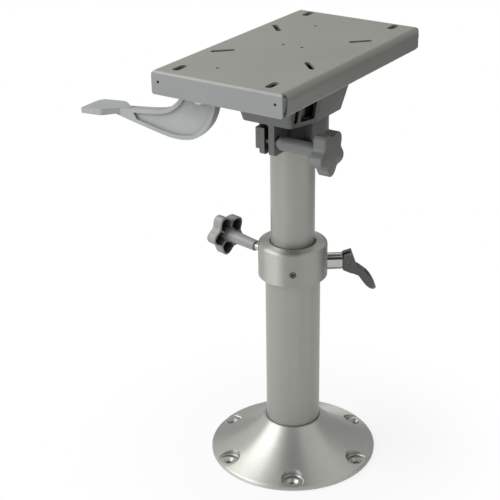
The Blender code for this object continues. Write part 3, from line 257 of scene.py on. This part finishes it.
def turned(name, colour):
    """Satin anodised turning: fine rings round the post's axis."""
    f = Finish(name, colour, metallic=0.85, roughness=0.46)
    polar = f.polar()
    rings = f.noise(1.0, (2400, 2400, 1), detail=2, place=polar)
    wide = f.noise(1.0, (160, 160, 1), detail=1, place=polar)
    cloud = f.noise(18, detail=3)
    f.tint(
        f.spread(rings, 0.965, 1.03), f.spread(wide, 0.985, 1.015), f.spread(cloud, 0.985, 1.015),
        # painted shade: darkens the holes and inner corners of the foot and collar
        f.painted_hollow_shade(12 * MM, darkest=0.08)
    )
    f.gloss(f.spread(rings, 0.43, 0.49))
    f.bump(rings, 0.015 * MM, 0.5)
    f.radial(amount=0.93, turn=0.25)
    return f.mat


def rolled(name, colour):
    """Satin sheet: grain along the plate, painted cool light on the end flanges and painted shade in
    corners.
    """
    f = Finish(name, colour, metallic=0.25, roughness=0.55, **{"Specular IOR Level": 0.3})
    normal = f.node("ShaderNodeTexCoord").outputs["Normal"]
    facing = f.calc("ABSOLUTE", f.node("ShaderNodeSeparateXYZ", {0: normal}).outputs[0])
    # Painted light: faces that turn to the plate's ends take a cooler tint, for the cool light that
    # falls on them
    end = f.remap(facing, PAINTED_COOL_LIGHT_FACING, (0.0, 1.0))
    # Inputs 0, 6 and 7 and output 2 are the ones that the node shows when it mixes colours
    f.colour = f.node(
        "ShaderNodeMix", {0: end, 6: (*colour, 1), 7: (*END_PAINTED_COOL_LIGHT, 1)}, data_type="RGBA"
    ).outputs[2]
    grain = f.noise(1.0, (12, 1400, 1400), detail=3)
    cloud = f.noise(9, detail=4)
    f.tint(
        # painted shade: darkens corners and pockets of the plate
        f.spread(grain, 0.97, 1.025), f.spread(cloud, 0.96, 1.03), f.painted_hollow_shade(30 * MM, darkest=0.04)
    )
    f.gloss(f.spread(grain, 0.5, 0.58))
    f.bump(grain, 0.015 * MM, 0.5)
    return f.mat


def cast(name, colour):
    """Grey coated casting with a fine grain."""
    f = Finish(name, colour, metallic=0.1, roughness=0.48)
    grain = f.noise(1700, detail=2)
    peel = f.noise(300, detail=2)
    cloud = f.noise(25, detail=3)
    # The last factor is painted shade: it darkens the cavities under and between the casting's walls
    f.tint(f.spread(grain, 0.93, 1.06), f.spread(cloud, 0.96, 1.03), f.painted_hollow_shade(60 * MM, darkest=0.05))
    f.gloss(f.spread(cloud, 0.44, 0.53))
    f.bump(peel, 0.05 * MM, 0.5)
    f.bump(grain, 0.03 * MM, 0.6)
    return f.mat


def moulded(name, colour, roughness=0.42, darkest=0.1):
    """Moulded plastic with a fine spark grain."""
    f = Finish(name, colour, metallic=0.0, roughness=roughness)
    grain = f.noise(1400, detail=2)
    flow = f.noise(30, detail=3)
    # The last factor is painted shade: it darkens pockets, such as those of the star knobs
    f.tint(f.spread(grain, 0.965, 1.03), f.spread(flow, 0.965, 1.03), f.painted_hollow_shade(14 * MM, darkest))
    f.gloss(f.spread(flow, roughness - 0.05, roughness + 0.06))
    f.bump(grain, 0.02 * MM, 0.6)
    return f.mat


def bright(name, colour, roughness, depth=0.02):
    """Plated or polished steel with hairline marks, whose depth is in mm."""
    f = Finish(name, colour, metallic=1.0, roughness=roughness)
    marks = f.noise(700, detail=3)
    cloud = f.noise(40, detail=3)
    f.tint(f.spread(cloud, 0.97, 1.02))
    f.gloss(f.spread(marks, roughness, roughness + 0.08))
    f.bump(marks, depth * MM, 0.3)
    return f.mat


# Each material, and the slot that it fills in the record
MATERIALS = {
    "tube": (extruded("anodised_tube", (0.32, 0.322, 0.294)), "anodised_aluminium"),
    "foot": (turned("anodised_foot", (0.46, 0.462, 0.43)), "anodised_aluminium"),
    "collar": (turned("anodised_collar", (0.36, 0.362, 0.332)), "anodised_aluminium"),
    "sheet": (rolled("satin_sheet", (0.3, 0.3, 0.271)), "satin_plate"),
    "cast": (cast("coated_casting", (0.14, 0.145, 0.134)), "painted_casting"),
    "knob": (moulded("moulded_grey", (0.235, 0.245, 0.232), darkest=0.03), "grey_moulding"),
    # Painted shade: the same grey moulding as the tension knob, made darker for the shade under the
    # seat plate
    "knob_painted_shade": (moulded("moulded_grey_painted_shade", (0.185, 0.194, 0.182)), "grey_moulding"),
    "lever": (moulded("moulded_light_grey", (0.325, 0.34, 0.327), 0.38, darkest=0.75), "grey_moulding"),
    "cam": (moulded("moulded_dark", (0.085, 0.085, 0.078), 0.36), "dark_moulding"),
    "nylon": (moulded("nylon_black", (0.014, 0.014, 0.014), 0.45), "black_nylon"),
    "chrome": (bright("chrome", (0.42, 0.42, 0.4), 0.09, depth=0.004), "chrome"),
    "steel": (bright("stainless", (0.52, 0.52, 0.5), 0.28), "stainless_steel"),
    "zinc": (bright("zinc_plated", (0.25, 0.25, 0.24), 0.38), "zinc_plated_steel"),
    "dark_steel": (bright("blackened_steel", (0.13, 0.13, 0.125), 0.35), "stainless_steel"),
}


# Shapes


def add(name, data):
    obj = bpy.data.objects.new(name, data)
    bpy.context.scene.collection.objects.link(obj)
    return obj


def add_mesh(name, bm, material):
    mesh = bpy.data.meshes.new(name)
    bm.to_mesh(mesh)
    bm.free()
    mesh.materials.append(material)
    return add(name, mesh)


def distance_from(axis, point):
    origin, direction = axis
    away = point - origin
    return away - direction * away.dot(direction)


def round_up(bm, axis, least):
    """Splits the facets of what is turned about the axis, and puts the new points on the circle."""
    ring = []
    for edge in bm.edges:
        a, b = (distance_from(axis, v.co) for v in edge.verts)
        along = (edge.verts[0].co - edge.verts[1].co).dot(axis[1])
        level = abs(a.length - b.length) < SAME_CIRCLE and abs(along) < SAME_CIRCLE
        chord = SHORTEST_CHORD < (a - b).length < LONGEST_CHORD * a.length
        if level and chord and a.length > least:
            ring.append(edge)
    for edge in ring:
        start = edge.verts[0]
        radius = distance_from(axis, start.co).length
        middle = bmesh.utils.edge_split(edge, start, 0.5)[1]
        out = distance_from(axis, middle.co)
        middle.co += out.normalized() * (radius - out.length)


BODY_OF = {
    node: body for body, nodes in frame["record"]["behaviour"]["bodies"].items() for node in nodes
}


def dress(node, material, edge, turned_about=None, segments=2):
    """A piece that stands for a CAD node, with edges rounded by so many mm and even shading."""
    bm = bmesh.new()
    bm.from_mesh(frame["nodes"][node].data)
    bmesh.ops.remove_doubles(bm, verts=bm.verts, dist=SAME_POINT)
    bmesh.ops.dissolve_limit(bm, angle_limit=FLAT, verts=bm.verts, edges=bm.edges)
    if turned_about:
        round_up(bm, *turned_about)
    bmesh.ops.recalc_face_normals(bm, faces=bm.faces)
    mat, slot = MATERIALS[material]
    obj = add_mesh(node + "_skin", bm, mat)
    obj.data.shade_smooth()
    bevel = obj.modifiers.new("edges", "BEVEL")
    bevel.width, bevel.segments = edge * MM, segments
    bevel.limit_method, bevel.angle_limit = "ANGLE", SHARP
    bevel.use_clamp_overlap, bevel.miter_outer = True, "MITER_ARC"
    even = obj.modifiers.new("shading", "WEIGHTED_NORMAL")
    even.keep_sharp, even.weight = True, SHADING_WEIGHT
    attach(obj, BODY_OF[node])
    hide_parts(node)


def thread(name, on, axis, start, end):
    """A screw thread: a ridge of triangular section that winds along a stud."""
    section = ((THREAD_ROOT, -THREAD_HALF), (THREAD_CREST, 0.0), (THREAD_ROOT, THREAD_HALF))
    foot, along = axis
    side = along.orthogonal().normalized()
    over = along.cross(side)
    bm = bmesh.new()
    rings = []
    for i in range(int((end - start) / THREAD_PITCH * THREAD_STEPS) + 1):
        turn = 2 * math.pi * i / THREAD_STEPS
        out = side * math.cos(turn) + over * math.sin(turn)
        at = start + THREAD_PITCH * i / THREAD_STEPS
        rings.append(
            [bm.verts.new(foot + out * r + along * (at + k * THREAD_PITCH)) for r, k in section]
        )
    for a, b in zip(rings, rings[1:]):
        for j in range(3):
            bm.faces.new((a[j], b[j], b[(j + 1) % 3], a[(j + 1) % 3]))
    bm.faces.new(rings[0])
    bm.faces.new(list(reversed(rings[-1])))
    bmesh.ops.recalc_face_normals(bm, faces=bm.faces)
    mat, slot = MATERIALS["steel"]
    obj = add_mesh(name, bm, mat)
    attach(obj, BODY_OF[on])


dress("base_flange", "foot", 0.5, POST)
dress("outer_tube", "tube", 0.4, POST)
dress("inner_tube", "tube", 0.3, POST)
dress("collar", "collar", 0.5, POST)
dress("guide_bushing", "nylon", 0.2, POST)
dress("foot_bushing", "nylon", 0.2, POST)
dress("thrust_washer", "nylon", 0.1, POST)
dress("swivel_bushing", "nylon", 0.2, POST)
dress("grub_screw", "dark_steel", 0.15)
dress("plunger_barrel", "chrome", 0.3, BARREL)
dress("plunger_pin", "chrome", 0.15, PIN)
dress("cam_pivot_pin", "dark_steel", 0.1)
dress("cam_lever", "cam", 0.5, segments=3)
dress("pressure_pad", "nylon", 0.2)
dress("tension_stud", "steel", 0.3, TENSION_ROD)
dress("tension_knob", "knob", 0.6, TENSION_HUB, segments=3)
dress("head_casting", "cast", 0.6, segments=3)
dress("clamp_nut", "cast", 0.4)
dress("clamp_washer", "dark_steel", 0.15)
dress("clamp_stud", "dark_steel", 0.3, CLAMP_ROD)
dress("clamp_knob", "knob_painted_shade", 0.6, CLAMP_HUB, segments=3)
dress("slide_carriage", "zinc", 0.3)
for corner in ("rear_left", "rear_right", "front_left", "front_right"):
    dress("carriage_bolt_" + corner, "steel", 0.25)
    dress("glide_" + corner, "nylon", 0.3)
dress("lever_bolt", "steel", 0.3)
dress("lever_nut", "steel", 0.3)
dress("slide_lever", "lever", 0.9, segments=3)
dress("seat_plate", "sheet", 0.35)
thread(
    "tension_thread", "tension_stud", TENSION_AXIS,
    start=COLLAR_FACE + THREAD_FROM, end=COLLAR_FACE + THREAD_TO
)


# Floor, light and camera


def face_aim(obj, azimuth, elevation, distance):
    """Puts a lamp or card on a sphere round the object's middle, which it faces."""
    level = math.cos(elevation)
    out = Vector((math.cos(azimuth) * level, math.sin(azimuth) * level, math.sin(elevation)))
    obj.location = Vector(AIM) + out * distance
    obj.rotation_euler = (Vector(AIM) - obj.location).to_track_quat("-Z", "Y").to_euler()


def lamp(name, azimuth, elevation, distance, size, power, colour=(1, 1, 1)):
    data = bpy.data.lights.new(name, "AREA")
    data.shape, data.size, data.size_y = "RECTANGLE", *size
    data.energy, data.color = power, colour
    face_aim(add(name, data), azimuth, elevation, distance)


def card(name, azimuth, elevation, distance, size, shade, glossy=True):
    """A dark card beside the object, which reflections see, or else the light round the object."""
    bm = bmesh.new()
    bmesh.ops.create_grid(bm, x_segments=1, y_segments=1, size=0.5)
    matt = Finish(name, (shade, shade, shade), metallic=0.0, roughness=0.8).mat
    obj = add_mesh(name, bm, matt)
    obj.scale = (*size, 1)
    face_aim(obj, azimuth, elevation, distance)
    obj.visible_camera = obj.visible_shadow = obj.visible_transmission = False
    obj.visible_glossy, obj.visible_diffuse = glossy, not glossy


def floor():
    f = Finish("pale_floor", FLOOR_COLOUR, metallic=0.0, roughness=0.7, **{"Specular IOR Level": 0.2})
    radius = f.node("ShaderNodeVectorMath", {0: f.place}, operation="LENGTH").outputs["Value"]
    shade = f.remap(radius, SHADE_RADII, SHADE_WHITE, interpolation_type="SMOOTHSTEP")
    outside = f.remap(radius, FOOT_RADII, (0.0, 1.0))
    share = f.calc("MULTIPLY", f.background_rays(), f.calc("MULTIPLY", shade, outside))
    glow = f.node("ShaderNodeEmission", {"Color": WHITE, "Strength": 1.0})
    f.mix_shaders(share, f.shader.outputs[0], glow.outputs[0], "Material Output")
    bm = bmesh.new()
    bmesh.ops.create_circle(bm, cap_ends=True, segments=96, radius=FLOOR_RADIUS)
    obj = add_mesh("floor", bm, f.mat)
    obj.location.z = FLOOR_Z


def sky():
    world = bpy.data.worlds.new("studio")
    bpy.context.scene.world = world
    world.use_nodes = True
    light = world.node_tree.nodes["Background"]
    light.inputs["Color"].default_value = WHITE
    light.inputs["Strength"].default_value = SKY_STRENGTH
    w = Nodes(world.node_tree)
    shown = w.node("ShaderNodeBackground", {"Color": WHITE})
    w.mix_shaders(w.background_rays(), light.outputs[0], shown.outputs[0], "World Output")


def camera():
    data = bpy.data.cameras.new("camera")
    data.lens, data.sensor_width = CAMERA_LENS, CAMERA_SENSOR
    data.shift_x, data.shift_y = CAMERA_SHIFT
    data.clip_start, data.clip_end = CAMERA_CLIP
    obj = add("camera", data)
    flat = Vector((math.cos(CAMERA_AZ), math.sin(CAMERA_AZ), 0))
    look = -flat * math.cos(CAMERA_PITCH) - Z_AXIS * math.sin(CAMERA_PITCH)
    turn = look.to_track_quat("-Z", "Y").to_matrix().to_4x4() @ Matrix.Rotation(CAMERA_ROLL, 4, "Z")
    obj.matrix_world = Matrix.Translation(flat * CAMERA_OUT + Z_AXIS * CAMERA_UP) @ turn
    bpy.context.scene.camera = obj


floor()
sky()
card("card_camera", 31.6 * DEG, 56 * DEG, 2.2, (1.5, 1.5), shade=0.04)
card("card_right", 105 * DEG, 5 * DEG, 1.5, (2.8, 2.4), shade=0.04, glossy=False)
card("card_plate", 148 * DEG, 2 * DEG, 0.95, (1.1, 0.6), shade=0.25)
card("card_back", 212 * DEG, 5 * DEG, 2.4, (3.2, 1.3), shade=0.12)
lamp("key", -51 * DEG, 36 * DEG, 2.4, (2.0, 1.2), power=46)
lamp("front", -15 * DEG, 12 * DEG, 2.3, (1.0, 1.4), power=7, colour=(0.86, 0.93, 1.0))
camera()
bpy.context.scene.view_settings.view_transform = "Standard"
